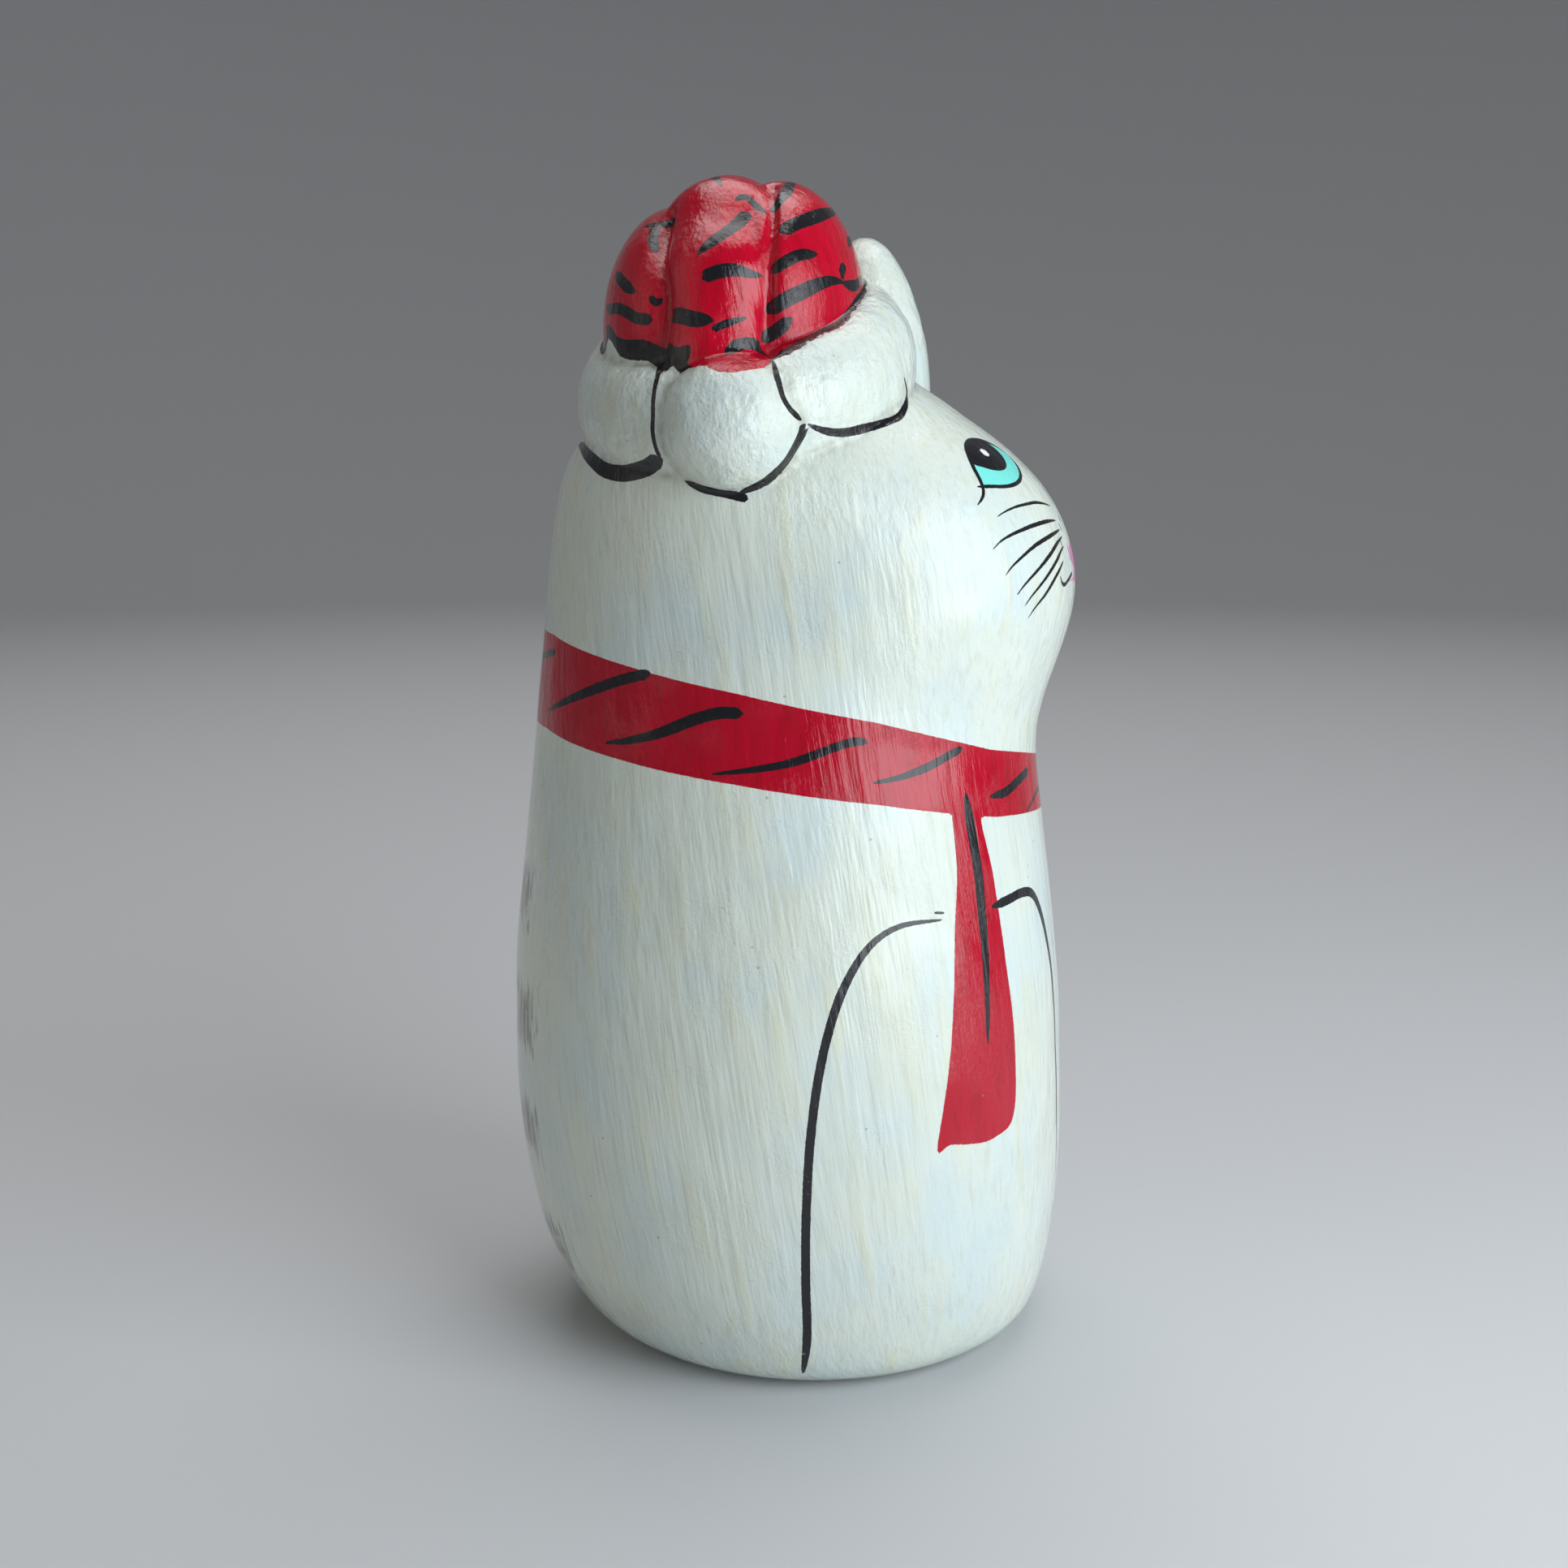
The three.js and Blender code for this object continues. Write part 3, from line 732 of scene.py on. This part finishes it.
class Graph:
    """Short calls for building a material's nodes."""

    def __init__(self, material):
        material.use_nodes = True
        self.tree = material.node_tree
        self.tree.nodes.clear()

    def add(self, kind, inputs=(), **settings):
        node = self.tree.nodes.new(kind)
        for key, value in settings.items():
            setattr(node, key, value)
        for key, value in dict(inputs).items():
            self.feed(node.inputs[key], value)
        return node

    def feed(self, socket, value):
        if isinstance(value, bpy.types.NodeSocket):
            self.tree.links.new(value, socket)
        elif isinstance(value, tuple) and len(value) == 3 and socket.type == "RGBA":
            socket.default_value = (*value, 1)
        else:
            socket.default_value = value

    def math(self, operation, a, b=0.0, clamp=False):
        return self.add("ShaderNodeMath", {0: a, 1: b}, operation=operation, use_clamp=clamp).outputs[0]

    def number(self, name):
        return self.add("ShaderNodeAttribute", attribute_name=name).outputs["Fac"]

    def vector(self, name):
        made = self.add("ShaderNodeAttribute", attribute_name=name).outputs["Vector"]
        return self.add("ShaderNodeSeparateXYZ", {0: made}).outputs

    def step(self, value, low, high):
        node = self.add("ShaderNodeMapRange", {"Value": value, "From Min": low, "From Max": high},
                        interpolation_type="SMOOTHSTEP")
        return node.outputs["Result"]

    def mix(self, share, a, b):
        node = self.add("ShaderNodeMix", data_type="RGBA")
        self.feed(node.inputs[0], share)
        self.feed(node.inputs[6], a)
        self.feed(node.inputs[7], b)
        return node.outputs[2]

    def noise(self, vector, scale, detail=3.0, roughness=0.5, distortion=0.0):
        return self.add("ShaderNodeTexNoise", {"Vector": vector, "Scale": scale, "Detail": detail,
                                               "Roughness": roughness, "Distortion": distortion}).outputs["Fac"]

    def stretch(self, vector, factors):
        return self.add("ShaderNodeVectorMath", {0: vector, 1: factors}, operation="MULTIPLY").outputs[0]


def stroke_mask(g, layer, wobble):
    across, beyond, half = g.vector(f"stroke_{layer}")
    reach = g.math("SQRT", g.math("ADD", g.math("MULTIPLY", across, across), g.math("MULTIPLY", beyond, beyond)))
    inside = g.math("ADD", g.math("SUBTRACT", half, reach), wobble)
    sharp = g.step(inside, -0.03, 0.05)
    near = g.step(g.math("SUBTRACT", g.math("ADD", half, 0.55), g.number(f"away_{layer}")), 0.0, 0.05)
    return g.math("MULTIPLY", sharp, near)


def painted_material():
    material = bpy.data.materials.new("hand_painted_lacquer")
    g = Graph(material)
    place = g.add("ShaderNodeTexCoord").outputs["Object"]
    mm = g.stretch(place, (1000, 1000, 1000))

    x, y, z = g.add("ShaderNodeSeparateXYZ", {0: mm}).outputs
    slanted = g.math("SUBTRACT", y, g.math("MULTIPLY", z, 0.16))
    brushed = g.add("ShaderNodeCombineXYZ", {0: x, 1: slanted, 2: z}).outputs[0]
    streaks = g.noise(g.stretch(brushed, (1.0, 1.0, 0.06)), 1.3, 4, 0.65)
    wide_streaks = g.noise(g.stretch(brushed, (1.0, 1.0, 0.10)), 0.34, 3, 0.6)
    blotches = g.noise(mm, 0.075, 3, 0.55)
    fine = g.noise(mm, 2.6, 4, 0.6)
    ragged = g.math("MULTIPLY", g.math("SUBTRACT", g.noise(mm, 1.1, 3, 0.6), 0.5), 0.55)
    wobble = g.math("MULTIPLY", g.math("SUBTRACT", g.noise(mm, 2.2, 3, 0.6), 0.5), 0.16)
    crease = g.number("crease")

    colour = g.mix(g.math("MULTIPLY", g.step(blotches, 0.40, 0.72), 0.7), WHITE, WHITE_COOL)
    colour = g.mix(g.math("MULTIPLY", g.step(wide_streaks, 0.5, 0.78), 0.65), colour, WHITE_WARM)
    colour = g.mix(g.math("MULTIPLY", g.step(streaks, 0.48, 0.72), 0.45), colour, (0.55, 0.59, 0.50))
    # Painted shade: darkens the bottoms of creases between forms, broken into patches by noise.
    crease_painted_shade = g.math("MULTIPLY", g.step(crease, 0.35, 1.0), g.step(g.noise(mm, 0.6, 2, 0.5), 0.3, 0.7))
    colour = g.mix(g.math("MULTIPLY", crease_painted_shade, 0.6), colour, CREASE_PAINTED_SHADE)

    tabby_edge = g.math("ADD", g.number("tabby"), g.math("MULTIPLY", g.math("SUBTRACT", streaks, 0.5), 9.0))
    tabby_hair = g.step(g.noise(g.stretch(mm, (1.0, 1.0, 0.10)), 1.7, 3, 0.6), 0.36, 0.60)
    tabby_depth = g.math("ADD", g.math("MULTIPLY", tabby_hair, 0.6), 0.25)
    tabby = g.math("MULTIPLY", g.step(tabby_edge, -0.4, 2.2), tabby_depth)
    colour = g.mix(tabby, colour, TABBY_GREY)

    depth = g.step(g.noise(g.stretch(mm, (1.0, 1.0, 0.25)), 0.55, 4, 0.6), 0.42, 0.75)
    scarf_red = g.mix(g.math("MULTIPLY", depth, 0.7), SCARF_RED, SCARF_RED_DEEP)
    hat_red = g.mix(g.math("MULTIPLY", depth, 0.7), HAT_RED, HAT_RED_DEEP)
    scarf = g.step(g.math("ADD", g.number("scarf"), wobble), -0.04, 0.05)
    colour = g.mix(scarf, colour, scarf_red)
    red_edge = g.math("ADD", g.number("red_hat"), ragged)
    red = g.step(red_edge, -0.05, 0.06)
    colour = g.mix(red, colour, hat_red)
    band_top = g.math("ADD", g.number("black_band"), g.math("MULTIPLY", ragged, 1.4))
    band = g.step(g.math("SUBTRACT", band_top, red_edge), -0.05, 0.06)
    band = g.math("MULTIPLY", g.math("MULTIPLY", band, red), g.step(g.number("black_band"), 0.05, 0.25))

    eye = g.step(g.number("eye"), -0.03, 0.04)
    colour = g.mix(eye, colour, TURQUOISE)
    colour = g.mix(g.step(g.number("pupil"), -0.04, 0.05), colour, BLACK)
    colour = g.mix(g.step(g.number("glint"), -0.05, 0.05), colour, (0.85, 0.86, 0.92))
    colour = g.mix(g.step(g.number("nose"), -0.15, 0.35), colour, PINK)

    masks = [stroke_mask(g, layer, wobble) for layer in range(LAYERS)]
    black = g.math("MAXIMUM", masks[0], band)
    for mask in masks[1:]:
        black = g.math("MAXIMUM", black, mask)
    worn = g.step(g.noise(mm, 0.9, 4, 0.65), 0.66, 0.74)
    black = g.math("MULTIPLY", black, g.math("SUBTRACT", 1.0, g.math("MULTIPLY", worn, 0.35)))
    colour = g.mix(black, colour, BLACK)

    speck_cells = g.add("ShaderNodeTexVoronoi", {"Vector": mm, "Scale": 0.22, "Randomness": 1.0})
    speck = g.math("SUBTRACT", 1.0, g.step(speck_cells.outputs["Distance"], 0.015, 0.05))
    colour = g.mix(g.math("MULTIPLY", speck, 0.5), colour, SPECK)

    height = g.math("MULTIPLY", streaks, 0.10)
    height = g.math("ADD", height, g.math("MULTIPLY", wide_streaks, 0.26))
    height = g.math("ADD", height, g.math("MULTIPLY", fine, 0.02))
    knobs = g.math("MULTIPLY", g.step(g.number("trim"), -0.2, 0.8), g.noise(mm, 0.75, 4, 0.55))
    height = g.math("ADD", height, g.math("MULTIPLY", knobs, 0.3))
    crinkle = g.math("MULTIPLY", g.noise(mm, 1.5, 5, 0.7, 0.6), g.step(g.noise(mm, 0.12, 2, 0.5), 0.42, 0.62))
    height = g.math("ADD", height, g.math("MULTIPLY", crinkle, 0.10))
    bump = g.add("ShaderNodeBump", {"Strength": 1.0, "Distance": MM, "Height": height}).outputs["Normal"]

    shader = g.add("ShaderNodeBsdfPrincipled", {
        "Base Color": colour,
        "Roughness": g.math("ADD", g.math("MULTIPLY", fine, 0.18), 0.30),
        "IOR": 1.5,
        "Specular IOR Level": 0.0,
        "Coat Weight": 1.0,
        "Coat Roughness": 0.045,
        "Coat IOR": 1.52,
        "Normal": bump,
        "Coat Normal": bump,
    })
    output = g.add("ShaderNodeOutputMaterial")
    g.tree.links.new(shader.outputs[0], output.inputs["Surface"])
    return material


def plain_material(name, colour, roughness):
    material = bpy.data.materials.new(name)
    g = Graph(material)
    shader = g.add("ShaderNodeBsdfPrincipled", {"Base Color": colour, "Roughness": roughness})
    output = g.add("ShaderNodeOutputMaterial")
    g.tree.links.new(shader.outputs[0], output.inputs["Surface"])
    return material


# Studio: a pale floor that sweeps up all round, and soft lamps.
FLOOR_RADIUS = 1.1
WALL_BEND = 0.45
WALL_TOP = 1.3
SWEEP_SIDES = 96
BEND_STEPS = 12


def make_sweep():
    outline = [(0.0, 0.0), (0.3, 0.0), (FLOOR_RADIUS, 0.0)]
    for k in range(1, BEND_STEPS + 1):
        a = math.pi / 2 * k / BEND_STEPS
        outline.append((FLOOR_RADIUS + WALL_BEND * math.sin(a), WALL_BEND * (1 - math.cos(a))))
    outline.append((FLOOR_RADIUS + WALL_BEND, WALL_TOP))
    points, faces = [(0, 0, 0)], []
    for radius, height in outline[1:]:
        for k in range(SWEEP_SIDES):
            turn = 2 * math.pi * k / SWEEP_SIDES
            points.append((radius * math.cos(turn), radius * math.sin(turn), height))
    for k in range(SWEEP_SIDES):
        after = (k + 1) % SWEEP_SIDES
        faces.append((0, 1 + k, 1 + after))
        for ring in range(len(outline) - 2):
            a, b = 1 + ring * SWEEP_SIDES, 1 + (ring + 1) * SWEEP_SIDES
            faces.append((a + k, b + k, b + after, a + after))
    mesh = bpy.data.meshes.new("studio_sweep")
    mesh.from_pydata(points, [], faces)
    mesh.polygons.foreach_set("use_smooth", [True] * len(faces))
    sweep = bpy.data.objects.new("studio_sweep", mesh)
    sweep.data.materials.append(plain_material("pale_floor", (0.62, 0.63, 0.65), 0.85))
    bpy.context.scene.collection.objects.link(sweep)


def make_lamp(name, turn, distance, height, size, power, colour, aim=(0, 0, 0.07)):
    """A soft lamp: turn is degrees from the cat's right side towards its front."""
    data = bpy.data.lights.new(name, "AREA")
    data.shape = "RECTANGLE"
    data.size, data.size_y = size
    data.energy = power
    data.color = colour
    lamp = bpy.data.objects.new(name, data)
    lamp.visible_camera = False
    a = math.radians(turn)
    lamp.location = (-distance * math.cos(a), -distance * math.sin(a), height)
    lamp.rotation_euler = (Vector(aim) - lamp.location).to_track_quat("-Z", "Y").to_euler()
    bpy.context.scene.collection.objects.link(lamp)


def make_camera():
    data = bpy.data.cameras.new("camera")
    data.sensor_fit = "HORIZONTAL"
    data.sensor_width = SENSOR_MM
    data.lens = SENSOR_MM * FOCAL_PX / PHOTO_PX
    data.clip_start = 0.01
    camera = bpy.data.objects.new("camera", data)
    to_front, down = CAMERA_TO_FRONT, CAMERA_DOWN
    out = CAMERA_OUT * MM
    camera.location = (-out * math.cos(to_front), -out * math.sin(to_front), CAMERA_UP * MM)
    look = Vector((math.cos(to_front) * math.cos(down), math.sin(to_front) * math.cos(down), -math.sin(down)))
    camera.rotation_euler = look.to_track_quat("-Z", "Y").to_euler()
    bpy.context.scene.collection.objects.link(camera)
    bpy.context.scene.camera = camera


def make_world():
    world = bpy.data.worlds.new("studio")
    world.use_nodes = True
    background = world.node_tree.nodes["Background"]
    background.inputs["Color"].default_value = (0.80, 0.80, 0.80, 1)
    background.inputs["Strength"].default_value = 0.13
    bpy.context.scene.world = world


bpy.context.scene.view_settings.view_transform = "Standard"
make_camera()
make_world()
make_sweep()
make_lamp("window", 57, 0.31, 0.18, (0.28, 0.36), 1.3, (0.88, 0.95, 1.0), (0, 0, 0.15))
make_lamp("overhead", 180, 0.30, 1.0, (0.8, 0.8), 5.0, (1.0, 1.0, 1.0), (0.05, 0, 0))
make_lamp("fill", -60, 0.9, 0.5, (0.7, 0.7), 0.8, (1.0, 0.95, 0.80))

cat = make_cat()
cat.data.materials.append(painted_material())
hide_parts("papier_mache_cat")
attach(cat, "root")
